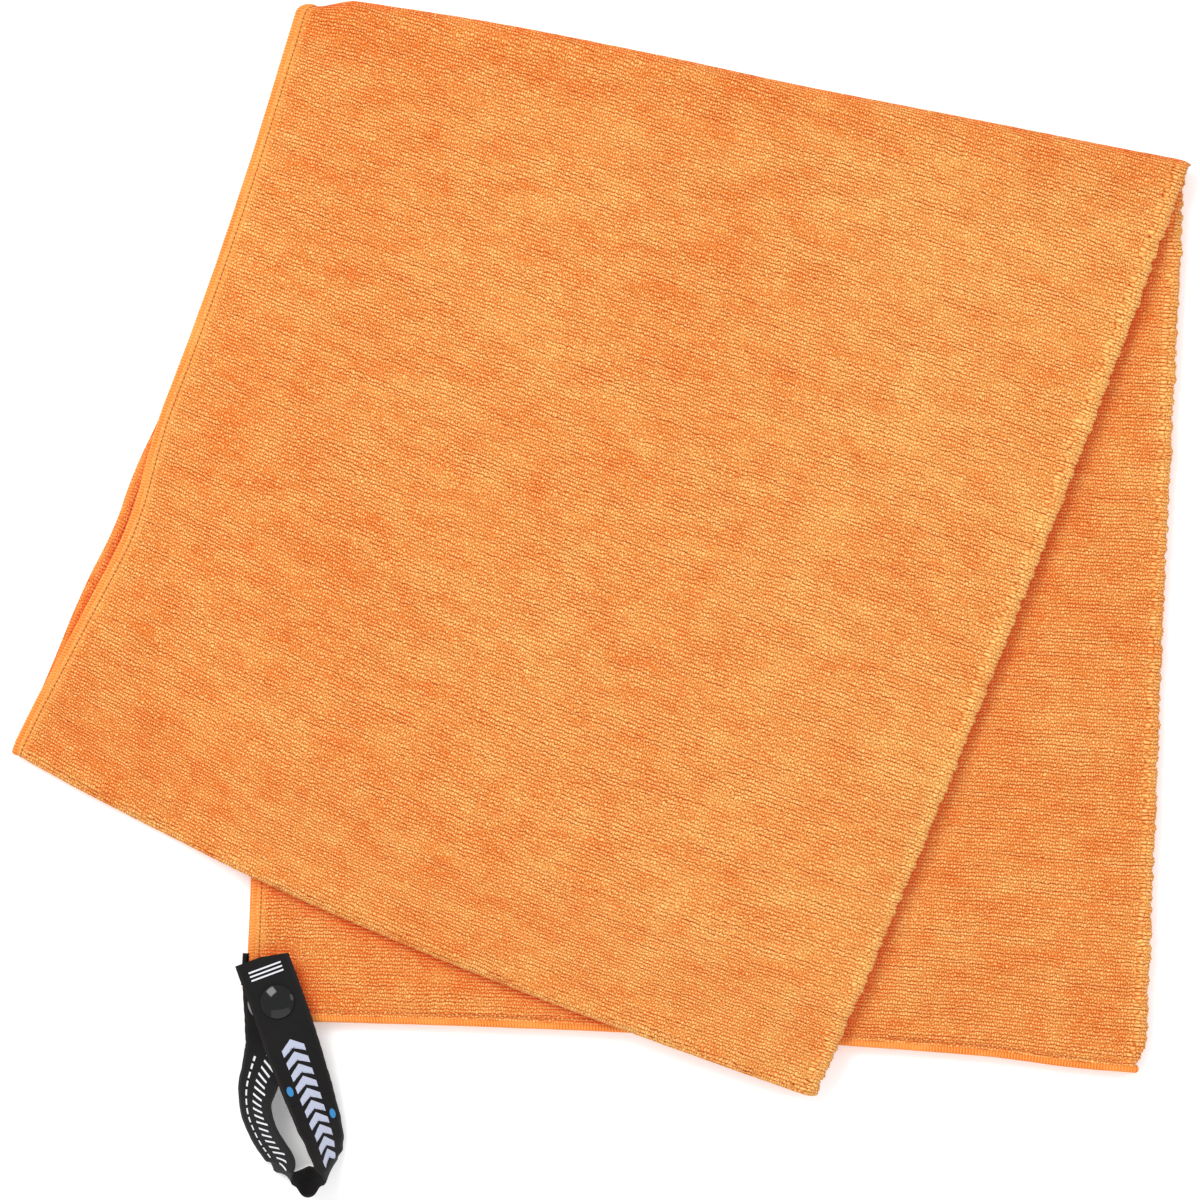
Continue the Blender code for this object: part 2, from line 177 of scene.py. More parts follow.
class Nodes:
    """Shorthand for building a material's node tree."""

    def __init__(self, name):
        self.material = bpy.data.materials.new(name)
        self.material.use_nodes = True
        self.tree = self.material.node_tree
        self.shader = self.tree.nodes["Principled BSDF"]

    def add(self, kind, **settings):
        node = self.tree.nodes.new(kind)
        for key, value in settings.items():
            setattr(node, key, value)
        return node

    def put(self, socket, value):
        if isinstance(value, bpy.types.NodeSocket):
            self.tree.links.new(value, socket)
        elif isinstance(value, (tuple, list)) and len(value) == 3 and socket.type == "RGBA":
            socket.default_value = (*value, 1.0)
        else:
            socket.default_value = value

    def math(self, operation, a, b=0.0, clamp=False):
        node = self.add("ShaderNodeMath", operation=operation, use_clamp=clamp)
        self.put(node.inputs[0], a)
        self.put(node.inputs[1], b)
        return node.outputs[0]

    def times(self, a, b):
        return self.math("MULTIPLY", a, b)

    def plus(self, a, b, clamp=False):
        return self.math("ADD", a, b, clamp)

    def cosine(self, value, period):
        return self.math("COSINE", self.times(value, 2 * math.pi / period))

    def fabric(self):
        """The fabric UVs, which hold millimetres or rib numbers."""
        return self.add("ShaderNodeUVMap", uv_map="fabric").outputs[0]

    def parts(self, vector):
        node = self.add("ShaderNodeSeparateXYZ")
        self.put(node.inputs[0], vector)
        return node.outputs

    def mix(self, share, a, b):
        node = self.add("ShaderNodeMix", data_type="RGBA")
        self.put(node.inputs[0], share)
        self.put(node.inputs[6], a)
        self.put(node.inputs[7], b)
        return node.outputs[2]

    def scaled(self, vector, scale):
        node = self.add("ShaderNodeVectorMath", operation="MULTIPLY")
        self.put(node.inputs[0], vector)
        self.put(node.inputs[1], scale)
        return node.outputs[0]

    def noise(self, vector, scale, detail=2.0, rough=0.5):
        node = self.add("ShaderNodeTexNoise")
        self.put(node.inputs["Vector"], vector)
        self.put(node.inputs["Scale"], scale)
        self.put(node.inputs["Detail"], detail)
        self.put(node.inputs["Roughness"], rough)
        return node.outputs["Fac"]

    def ranged(self, value, low, high, to_low=0.0, to_high=1.0):
        node = self.add("ShaderNodeMapRange")
        for socket, number in zip(node.inputs[:5], (value, low, high, to_low, to_high)):
            self.put(socket, number)
        return node.outputs[0]

    def bump(self, height, distance, strength=1.0):
        node = self.add("ShaderNodeBump")
        self.put(node.inputs["Height"], height)
        self.put(node.inputs["Distance"], distance)
        self.put(node.inputs["Strength"], strength)
        self.put(self.shader.inputs["Normal"], node.outputs[0])

    def finish(self, **values):
        for key, value in values.items():
            self.put(self.shader.inputs[key.replace("_", " ")], value)
        return self.material


def linear(red, green, blue):
    """Screen colour from 0 to 255 as linear light."""
    def one(c):
        c /= 255
        return c / 12.92 if c <= 0.04045 else ((c + 0.055) / 1.055) ** 2.4
    return one(red), one(green), one(blue)


def terry_material():
    """Ribbed knit terry. The fabric UVs give millimetres along a rib and the rib's number."""
    n = Nodes("terry")
    uv = n.fabric()
    wander = n.add("ShaderNodeTexNoise")
    n.put(wander.inputs["Vector"], n.scaled(uv, (0.55, 0.7, 1.0)))
    n.put(wander.inputs["Scale"], 1.0)
    n.put(wander.inputs["Detail"], 1.0)
    shift = n.add("ShaderNodeVectorMath", operation="SUBTRACT")
    n.put(shift.inputs[0], wander.outputs["Color"])
    shift.inputs[1].default_value = (0.5, 0.5, 0.5)
    warped = n.add("ShaderNodeVectorMath", operation="ADD")
    n.put(warped.inputs[0], uv)
    n.put(warped.inputs[1], n.scaled(shift.outputs[0], (1.1, 0.95, 0.0)))
    warped = warped.outputs[0]

    wave = n.cosine(n.parts(warped)[1], 1.0)
    loops = n.add("ShaderNodeTexVoronoi", feature="DISTANCE_TO_EDGE", voronoi_dimensions="2D")
    n.put(loops.inputs["Vector"], n.scaled(warped, (1 / 0.92, 1.0, 1.0)))
    n.put(loops.inputs["Scale"], 1.0)
    n.put(loops.inputs["Randomness"], 0.88)
    loops = loops.outputs["Distance"]
    fine = n.noise(n.scaled(uv, (1.8, 2.3, 1.0)), 1.0, 3.0, 0.65)
    patches = n.noise(n.scaled(uv, (0.06, 0.13, 1.0)), 1.0, 5.0, 0.66)
    drift = n.noise(n.scaled(uv, (0.014, 0.018, 1.0)), 1.0, 2.0)
    streaks = n.noise(n.scaled(uv, (0.022, 0.55, 1.0)), 1.0, 3.0, 0.6)

    dome = n.ranged(loops, 0.02, 0.36)
    height = n.plus(dome, n.times(wave, -0.22))
    height = n.plus(height, n.times(fine, 0.8))

    tone = n.plus(n.times(patches, 0.72), n.times(drift, 0.28))
    tone = n.plus(tone, n.times(n.math("SUBTRACT", streaks, 0.5), 0.3))
    # painted shading read from the mesh: lighter along the lengthwise fold, darker round the top fold
    # and on the lower panel, and drifting lighter to the right on the upper panel
    painted_shading = n.add("ShaderNodeAttribute", attribute_name="painted_shading").outputs["Fac"]
    tone = n.plus(n.ranged(tone, 0.32, 0.68), painted_shading, clamp=True)
    base = n.mix(tone, linear(238, 130, 36), linear(253, 190, 98))
    # painted shade: the colour goes darker and redder in the gaps between loops and along each rib's
    # groove, with fine random mottle mixed in
    loop_gap_shade = n.ranged(loops, 0.02, 0.15, 1.0, 0.0)
    line = n.times(n.ranged(wave, 0.3, 0.95), n.ranged(streaks, 0.38, 0.64, 0.2, 1.25))
    shade_and_mottle = n.plus(n.times(loop_gap_shade, 0.72), n.times(line, 0.6))
    shade_and_mottle = n.plus(shade_and_mottle, n.times(n.math("SUBTRACT", 0.5, fine), 1.9), clamp=True)
    colour = n.mix(shade_and_mottle, base, linear(168, 56, 4))
    # painted highlight: the tops of the loops are lightened towards pale yellow
    crest = n.ranged(height, 1.05, 1.5, 0.0, 0.5)
    colour = n.mix(crest, colour, linear(255, 224, 152))
    band = n.ranged(n.parts(uv)[0], 3.6, 6.2, 0.5, 0.0)
    colour = n.mix(band, colour, linear(252, 174, 86))
    # painted bounce light and shade: where the AO node finds surfaces within 15 mm, mostly on faces
    # turned up, the colour is mixed towards deep red, for light that bounces between close folds
    near = n.add("ShaderNodeAmbientOcclusion", samples=6)
    near.inputs["Distance"].default_value = 0.015
    facing = n.parts(n.add("ShaderNodeNewGeometry").outputs["True Normal"])[2]
    bounce_shade = n.ranged(near.outputs["AO"], 0.82, 0.3, 0.0, 0.95)
    bounce_shade = n.times(bounce_shade, n.ranged(facing, -0.2, 0.6, 0.35, 1.0))
    colour = n.mix(bounce_shade, colour, linear(255, 84, 14))
    n.bump(height, 0.00025, 0.7)
    return n.finish(Base_Color=colour, Roughness=0.95, Sheen_Weight=0.06, Sheen_Roughness=0.5,
                    Sheen_Tint=(1.0, 0.62, 0.25))


def hem_material(name, body, groove_colour):
    """Overlock thread: fine ticks across the edge, from UVs of millimetres along and round."""
    n = Nodes(name)
    uv = n.fabric()
    split = n.parts(uv)
    ticks = n.cosine(n.plus(split[0], n.times(split[1], 0.35)), TICK)
    fuzz = n.noise(n.scaled(uv, (2.2, 1.6, 1.0)), 1.0, 2.0)
    tone = n.noise(n.scaled(uv, (0.05, 0.1, 1.0)), 1.0, 2.0)
    level = n.plus(n.times(ticks, 0.5), n.times(fuzz, 1.1))
    # partly painted shade: the colour goes towards groove_colour where the thread's surface is low, in
    # the hollows between ticks; partly random fuzz
    colour = n.mix(n.ranged(level, 0.0, 1.1), groove_colour, body)
    colour = n.mix(n.ranged(tone, 0.4, 0.65, 0.0, 0.4), colour, linear(253, 172, 84))
    n.bump(level, 0.0001, 0.7)
    return n.finish(Base_Color=colour, Roughness=0.85, Sheen_Weight=0.1, Sheen_Roughness=0.5,
                    Sheen_Tint=(1.0, 0.7, 0.4))


def thread_material():
    n = Nodes("thread")
    coord = n.add("ShaderNodeTexCoord").outputs["Object"]
    twist = n.noise(coord, 2600.0, 1.0)
    colour = n.mix(twist, linear(136, 62, 20), linear(190, 102, 42))
    n.bump(twist, 0.00004, 0.6)
    return n.finish(Base_Color=colour, Roughness=0.6)


def ribbon_material():
    """Black woven ribbon: fine cross ribs, from UVs of millimetres along and across."""
    n = Nodes("ribbon")
    uv = n.fabric()
    split = n.parts(uv)
    weave = n.plus(n.cosine(split[0], 0.5), n.times(n.cosine(split[1], 0.42), 0.6))
    edge = n.ranged(n.math("ABSOLUTE", split[1]), 8.6, 9.6)
    worn = n.noise(n.scaled(uv, (0.35, 0.5, 1.0)), 1.0, 3.0)
    base = n.mix(worn, linear(8, 7, 7), linear(16, 14, 14))
    colour = n.mix(n.ranged(weave, -1.6, 1.6, 0.0, 0.3), base, linear(30, 27, 27))
    colour = n.mix(n.times(edge, 0.35), colour, linear(50, 46, 45))
    n.bump(weave, 0.00003, 0.5)
    return n.finish(Base_Color=colour, Roughness=0.72, Specular_IOR_Level=0.2, Sheen_Weight=0.012,
                    Sheen_Roughness=0.4)


def print_material(name, colour, hatch_colour=None):
    """Screen print on the ribbon, hatched in a second colour where there is one."""
    n = Nodes(name)
    if hatch_colour:
        split = n.parts(n.fabric())
        wave = n.cosine(n.plus(split[0], split[1]), 0.55)
        colour = n.mix(n.ranged(wave, -0.2, 0.5), hatch_colour, colour)
    grain = n.noise(n.add("ShaderNodeTexCoord").outputs["Object"], 3000.0, 1.0)
    colour = n.mix(n.times(grain, 0.18), colour, (0.1, 0.1, 0.1))
    n.bump(grain, 0.00002, 0.4)
    return n.finish(Base_Color=colour, Roughness=0.5)


def enamel_material():
    n = Nodes("snap_enamel")
    coord = n.add("ShaderNodeTexCoord").outputs["Object"]
    wear = n.noise(coord, 420.0, 3.0)
    n.bump(n.noise(coord, 900.0, 2.0), 0.00001, 0.25)
    rough = n.ranged(wear, 0.35, 0.7, 0.05, 0.14)
    return n.finish(Base_Color=linear(10, 11, 13), Roughness=rough, Specular_IOR_Level=0.35)


def metal_material():
    n = Nodes("snap_nickel")
    coord = n.add("ShaderNodeTexCoord").outputs["Object"]
    scratches = n.noise(n.scaled(coord, (1.0, 6.0, 1.0)), 700.0, 3.0)
    n.bump(scratches, 0.00001, 0.4)
    rough = n.ranged(scratches, 0.3, 0.7, 0.2, 0.36)
    return n.finish(Base_Color=linear(150, 150, 152), Roughness=rough, Metallic=1.0)


def floor_material():
    n = Nodes("studio_floor")
    # the floor glows faintly: painted light that lifts the shadows cast on it
    return n.finish(Base_Color=(0.93, 0.93, 0.93), Roughness=0.9,
                    Emission_Color=(1, 1, 1), Emission_Strength=0.2)


TERRY = terry_material()
HEM = hem_material("hem", linear(252, 156, 64), linear(214, 98, 24))
HEM_SHADE = hem_material("hem_shade", linear(254, 152, 54), linear(212, 90, 16))
THREAD = thread_material()
RIBBON = ribbon_material()
INK_LIGHT = print_material("ink_light", linear(214, 218, 234), linear(150, 160, 190))
INK_WHITE = print_material("ink_white", linear(226, 228, 234))
INK_BLUE = print_material("ink_blue", linear(20, 128, 190))
ENAMEL = enamel_material()
METAL = metal_material()


# ---------------------------------------------------------------- the folded towel

def bowed_side(start, end, bow, t):
    """A side from start to end that bows to its right; past its end it runs on straight."""
    run = end - start
    right = np.array((run[1], -run[0])) / np.hypot(*run)
    inside = np.clip(t, 0, 1)
    lift = bow * (4 * inside * (1 - inside) - 4 * np.maximum(t - 1, 0))
    return start + np.multiply.outer(t, run) + np.multiply.outer(lift, right)


class Plan:
    """A panel seen from above, between its left and right sides."""

    def width(self, q):
        left, right = self.sides(q)
        return np.hypot(*(right - left).T)


class UpperPlan(Plan):
    """The upper panel seen from above: q counts along its sides from the bottom fold."""

    bottom_left = np.array((-209.4, -64.4))
    bottom_right = np.array((90.6, -174.3))
    top_left = np.array((-120.4, 212.0))
    top_right = np.array((206.8, 170.0))
    left_length = float(np.hypot(*(top_left - bottom_left)))
    right_length = float(np.hypot(*(top_right - bottom_right)))
    rib_count = right_length / RIB_RIGHT
    left_at_one = rib_count * RIB_LEFT / left_length  # how far up the left side the last rib is
    inset = 4.4  # the bottom fold's round stands this far out of the line q = 0

    def sides(self, q):
        up_left = q * self.left_at_one
        left = bowed_side(self.bottom_left, self.top_left, LEFT_BOW, up_left)
        left[:, 0] += LEFT_DENT * hill(up_left, 0.31, 0.07)
        right = bowed_side(self.bottom_right, self.top_right, RIGHT_BOW, q)
        return left, right

    def at(self, u, q):
        left, right = self.sides(q)
        up = (self.top_left - self.bottom_left) / self.left_length
        sag = 7.6 * np.sin(math.pi * np.clip(u, 0, 1) ** 0.85) * (1 - smooth(q * 1.2))[:, None]
        plan = left[:, None, :] * (1 - u[..., None]) + right[:, None, :] * u[..., None]
        return plan - up * (sag - self.inset * (1 - smooth(q * 8))[:, None])[..., None]

    def down(self):
        return -(self.top_left - self.bottom_left) / self.left_length


class LowerPlan(Plan):
    """The lower panel seen from above: q counts up from its end hem."""

    left_x = HEM_LOW[0] - 0.6
    end_y = END_LOW[1]
    length = 366.0
    rib_count = length / RIB_LOWER

    def sides(self, q):
        y = self.end_y + q * self.length
        left = np.stack([self.left_x + 0.6 * np.sin(y / 31.0), y - 0.3], -1)
        fall = np.clip((163.0 - y) / 290.0, 0, 2)
        right_x = 206.9 + 3.6 * fall ** 1.5 - 3.8 * hill(y, self.end_y, 7.0)
        return left, np.stack([right_x, y], -1)

    def at(self, u, q):
        left, right = self.sides(q)
        plan = left[:, None, :] * (1 - u[..., None]) + right[:, None, :] * u[..., None]
        x = plan[..., 0]
        share = np.clip((x - self.left_x) / 330.0, 0, 1)
        wave = 3.2 * np.sin(math.pi * share) - 1.6 * smooth((x - 148.0) / 42.0)
        plan[..., 1] += wave * (1 - smooth(q * 2.2))[:, None]
        return plan


UPPER, LOWER = UpperPlan(), LowerPlan()
FOLD_RADIUS = 6.5  # of the outermost ply round the top fold
FOLD_HUMPS = ((1.9, -45.0, 45.0), (1.2, 15.0, 40.0))  # its swellings: height, middle and spread
FOLD_SINK = 0.6  # how far it draws in at its right end
FOLD_PINCH = 0.3  # the share by which it is pressed flatter at its left end
FOLD_CORNER = 5.0  # how far its left corner is rounded inwards
FOLD_DROP = 2.0  # how far its left end hangs back from the fold line
FOLD_RECESS = 1.3  # how far the lower leaves draw in there, to stay under the upper ones
SAG_RUN = 36.0
SAG_DEPTH = UP_LOW_IN[2] - 0.3


def beyond_fold(plan):
    """How far plan points lie past the top fold's axis."""
    return (plan - FOLD_POS[:2]) @ FOLD_OUT


def stack_shift(plan, overhang):
    """How much the cloth rises or falls here: soft hills, and the droop past the lower panel."""
    x, y = plan[..., 0], plan[..., 1]
    inland = smooth(-beyond_fold(plan) / 40.0)
    hills = 0.55 * ripple(x, y, 120.0, 3) + 0.3 * ripple(x, y, 46.0, 5)
    shift = hills * inland
    if overhang:
        out = np.maximum(LOWER.left_x - x, LOWER.end_y + 1.0 - y)
        shift = shift - SAG_DEPTH * smooth((out + 3.0) / SAG_RUN) * inland
        shift = shift + 0.5 * ripple(x, y, 30.0, 9) * smooth(out / 20.0)
    return shift


class Leaf:
    """Two plies joined by the lengthwise fold, with ply a at height a_z and ply b at b_z."""

    def __init__(self, plan, a_z, b_z, upper, left_out=(0.0, 0.0), nose=6.0, slip=0.0):
        self.plan, self.a_z, self.b_z, self.upper = plan, a_z, b_z, upper
        self.left_out, self.nose, self.slip = left_out, nose, slip

    def columns(self, step, back_step):
        """Across the leaf: share from the right, height share, ply, and bulge round the fold."""
        width = 326.0
        flat = np.linspace(0, 1, int(width / step))
        back = np.linspace(0, 1, int(width / back_step))[1:]
        turn = np.linspace(0, math.pi, 13)[1:-1]
        rows = [(1 - u, 1.0, 0, None) for u in flat]
        rows += [(-1, math.cos(t), 0 if t < math.pi / 2 else 1, math.sin(t)) for t in turn]
        rows += [(u, -1.0, 1, None) for u in np.concatenate([[0.0], back])]
        return rows

    def shape(self, rows_q, wraps, columns, rib_depth):
        """The leaf's surface as one grid: points, fabric coordinates, painted shading, and where it has
        ended.

        rows_q are the rows' places along the panel; wraps are their turns round the bottom fold.
        """
        q, wrap = np.asarray(rows_q), np.asarray(wraps)
        width = self.plan.width(q)
        middle, half = (self.a_z + self.b_z) / 2, (self.a_z - self.b_z) / 2
        u = np.zeros((len(q), len(columns)))
        height = np.zeros(len(columns))
        cloth = np.zeros((len(q), len(columns)))
        nose_run = self.nose * 1.25
        slipped = smooth((q - 0.03) / 0.2) * (1 - smooth((q - 0.3) / 0.12))
        for j, (right_share, level, ply, bulge) in enumerate(columns):
            out_left = self.left_out[ply] + self.slip * slipped
            height[j] = middle + half * level
            if bulge is None:
                from_right = self.nose + right_share * (width - self.nose + out_left)
                u[:, j] = 1 - from_right / width
                cloth[:, j] = width + (nose_run + from_right if ply else out_left - from_right)
            else:
                u[:, j] = 1 - self.nose * (1 - bulge) / width
                done = (1 - level) / 2
                cloth[:, j] = width - self.nose + nose_run * 2 * done
        plan = self.plan.at(u, q)
        ribs = q * self.plan.rib_count
        if self.upper:
            cloth_edge = self.plan.inset * 1.3 / RIB_RIGHT
            ribs = ribs - wrap / (math.pi / 2) * cloth_edge
        up_cloth = ribs[:, None] * 1.3
        wiggle = 0.25 * ripple(cloth, up_cloth, 22.0, 21)
        rib_number = ribs[:, None] + wiggle

        z = height[None, :] + stack_shift(plan, self.upper)
        phase = np.arange(len(q)) % ROWS_PER_RIB
        crest = np.where(phase == 0, -1.0, 0.5)[:, None] * np.ones(len(columns))
        crest = crest * (1 + 0.5 * ripple(cloth, up_cloth, 9.0, 31))
        away_from_hem = smooth((cloth - 3.0) / 3.5)
        lift = rib_depth * crest * away_from_hem
        up_sign = np.sign(self.a_z - self.b_z)
        levels = np.array([c[1] for c in columns])
        z = z + lift * np.sign(levels) * np.abs(levels) * up_sign
        # rib ends stand out along the lengthwise fold
        bulge = np.array([c[3] or 0.0 for c in columns])
        knuckle = 0.5 * ripple(up_cloth, 0.0, 2.9, 41) + 0.32 * ripple(up_cloth, 0.0, 6.5, 43)
        out = (lift * 0.9 + knuckle + 0.25 * ripple(ribs[:, None], 0.0, 30.0, 45)) * bulge
        left, right = self.plan.sides(q)
        across = (right - left) / np.hypot(*(right - left).T)[:, None]
        plan = plan + out[..., None] * across[:, None, :]

        # round the bottom fold
        if self.upper:
            rise = z - BOTTOM_FOLD_Z - stack_shift(plan, True)
            base = z - rise
            plan = plan + (self.plan.down() * np.sin(wrap)[:, None, None]
                           * (self.plan.inset * np.clip(np.abs(rise) / 3.3, 0, 1.15))[..., None])
            z = base + rise * np.cos(wrap)[:, None]

        # round the top fold
        past = beyond_fold(plan)
        rise = z - FOLD_Z
        radius = np.maximum(np.abs(rise), 0.05)
        turn = np.clip(past / radius, 0, math.pi / 2)
        x = plan[..., 0]
        hump = sum(swell * hill(x, *place) for swell, *place in FOLD_HUMPS)
        hump = hump - FOLD_SINK * smooth((x - 100.0) / 100.0)
        outermost = np.clip(radius / FOLD_RADIUS, 0, 1)
        reach = (radius + hump * outermost) * (1 - FOLD_PINCH * smooth((-99.0 - x) / 17.0))
        if not self.upper:
            reach = reach - FOLD_RECESS * smooth((-92.0 - x) / 12.0) * outermost
        around = np.where(past > 0, reach * np.sin(turn) - past, 0.0)
        drop = FOLD_DROP * smooth((-98.0 - x) / 16.0) * smooth(1 + past / 25.0)
        plan = plan + (around - drop)[..., None] * FOLD_OUT
        corner = FOLD_CORNER * (1 - np.cos(turn)) * np.exp(-u * width[:, None] / 9.0)
        plan = plan + corner[..., None] * across[:, None, :]
        z = np.where(past > 0, FOLD_Z + rise * np.cos(turn), z)
        points = np.concatenate([plan, z[..., None]], -1)
        uv = np.stack([cloth, rib_number], -1)
        # painted shading: lighter within about 8 mm of the lengthwise fold (painted light on its round
        # edge), darker from 24 mm short of the top fold onwards and a little darker over the whole lower
        # panel (painted shade); on the upper panel it also drifts lighter to the right
        from_fold = (1 - u) * width[:, None]
        painted_shading = 0.4 * smooth(1 - (from_fold - 2.0) / 6.0) - 0.3 * smooth(past / 24.0 + 1)
        painted_shading += 0.16 * np.clip(plan[..., 0] / 200.0, -0.8, 1) if self.upper else -0.12
        ended = past > radius * (math.pi / 2) + 0.6
        return points, uv, painted_shading, ended

    def rows(self, step_ribs=1.0):
        """Row places: the turn round the bottom fold, then even steps along the panel."""
        count = int(self.plan.rib_count * 1.06 * ROWS_PER_RIB / step_ribs)
        q = np.arange(count) * step_ribs / ROWS_PER_RIB / self.plan.rib_count
        wraps = np.zeros(count)
        if self.upper:
            turns = np.linspace(math.pi / 2, 0, 13)[:-1]
            q = np.concatenate([np.zeros(len(turns)), q])
            wraps = np.concatenate([turns, wraps])
        return q, wraps

    def build(self, name, step, back_step, row_step=1.0, rib_depth=RIB_DEPTH):
        columns = self.columns(step, back_step)
        q, wraps = self.rows(row_step)
        points, uv, painted_shading, ended = self.shape(q, wraps, columns, rib_depth)
        faces = grid_faces(*points.shape[:2])
        gone = ended.reshape(-1)[faces].all(axis=1)
        faces = faces[~gone]
        if self.a_z < self.b_z:
            faces = faces[:, ::-1]
        used, packed = np.unique(faces, return_inverse=True)
        return mesh_object(name, points.reshape(-1, 3)[used], packed.reshape(faces.shape), TERRY,
                           uv.reshape(-1, 2)[used], painted_shading=painted_shading.reshape(-1)[used])

    def edge_path(self, ply, inset, q_range=(0.0, 1.0), count=900):
        """A line on the surface this far in from a ply's cut edge, with the way inwards from it."""
        q, wraps = np.linspace(*q_range, count), np.zeros(count)
        if self.upper:
            turns = np.linspace(math.pi / 2, 0, 25)[:-1]
            q, wraps = np.concatenate([0 * turns, q]), np.concatenate([turns, wraps])
        level = 1.0 if ply == 0 else -1.0
        columns = []
        for from_edge in (inset, inset + 2.0):
            share = 1 - from_edge / float(self.plan.width(q).mean())
            columns.append((share, level, ply, None))
        points, _, _, ended = self.shape(q, wraps, columns, 0.0)
        inward = unit(points[:, 1] - points[:, 0])
        keep = ~ended[:, 0]
        return points[:, 0][keep], inward[keep]


def even_line(points, side, step):
    """The line resampled to even steps, with its side direction."""
    run = np.concatenate([[0], np.cumsum(np.linalg.norm(np.diff(points, axis=0), axis=1))])
    marks = np.arange(0, run[-1], step)
    line = np.stack([np.interp(marks, run, points[:, k]) for k in range(3)], -1)
    side = np.stack([np.interp(marks, run, side[:, k]) for k in range(3)], -1)
    return line, unit(side), marks


def line_frame(line, side):
    """The directions along a line and up from it."""
    along = unit(np.gradient(line, axis=0))
    up = np.cross(along, side)
    return along, up * np.sign(up[:, 2:3].sum() or 1)


def bead(name, points, side, width, height, material, tick_depth=0.13,
         step=0.37, sides=10):
    """An overlocked edge: a flattened roll of thread along a line, with ticks across it."""
    line, side, marks = even_line(points, side, step)
    _, up = line_frame(line, side)
    angles = np.linspace(0, 2 * math.pi, sides, endpoint=False)
    from_end = np.minimum(marks, marks[-1] - marks)
    ticks = tick_depth * np.cos(2 * math.pi * marks / TICK) * np.clip(from_end / 2, 0, 1)
    swell = 1 + 0.05 * ripple(marks, 0.0, 17.0, 51)
    taper = np.sqrt(np.clip(from_end / (width * 0.5) + 0.04, 0.04, 1))
    half_w = (width / 2 * swell * taper + ticks)[:, None, None]
    half_h = (height / 2 * swell * taper + ticks * 0.7)[:, None, None]
    ring = line[:, None] + half_w * np.cos(angles)[None, :, None] * side[:, None]
    ring = ring + half_h * np.sin(angles)[None, :, None] * up[:, None]
    count = len(line)
    faces = grid_faces(count, sides, closed=True)
    points = np.concatenate([ring.reshape(-1, 3), line[:1], line[-1:]])
    uv = np.stack([np.repeat(marks, sides), np.tile(angles * width / 3, count)], -1)
    uv = np.concatenate([uv, [[0, 0], [marks[-1], 0]]])
    caps = []
    for k in range(sides):
        after = (k + 1) % sides
        last = (count - 1) * sides
        caps += [(count * sides, after, k), (count * sides + 1, last + k, last + after)]
    return mesh_object(name, points, faces.tolist() + caps, material, uv)


def stitches(name, points, side, pitch=1.75, length=1.3, radius=0.2, lift=0.12):
    """A row of thread dashes along a line."""
    line, side, _ = even_line(points, side, pitch / 6)
    along, up = line_frame(line, side)
    sides, rings = 6, 5
    verts, faces = [], []
    for start in range(3, len(line) - 7, 6):
        centre, a, s, u = line[start], along[start], side[start], up[start]
        base = len(verts)
        for i in range(rings):
            t = i / (rings - 1) * 2 - 1
            r = radius * (0.35 + 0.65 * math.sqrt(max(0.0, 1 - t * t)))
            for k in range(sides):
                turn = 2 * math.pi * k / sides
                place = centre + (a * (t * length / 2) + s * (r * math.cos(turn))
                                  + u * (lift + r * math.sin(turn)))
                verts.append(place)
        faces += (grid_faces(rings, sides, closed=True) + base).tolist()
        faces.append(tuple(base + k for k in reversed(range(sides))))
        faces.append(tuple(base + (rings - 1) * sides + k for k in range(sides)))
    return mesh_object(name, verts, faces, THREAD)


def follow_panel(obj):
    """Bakes the piece's transform into its mesh."""
    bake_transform(obj)


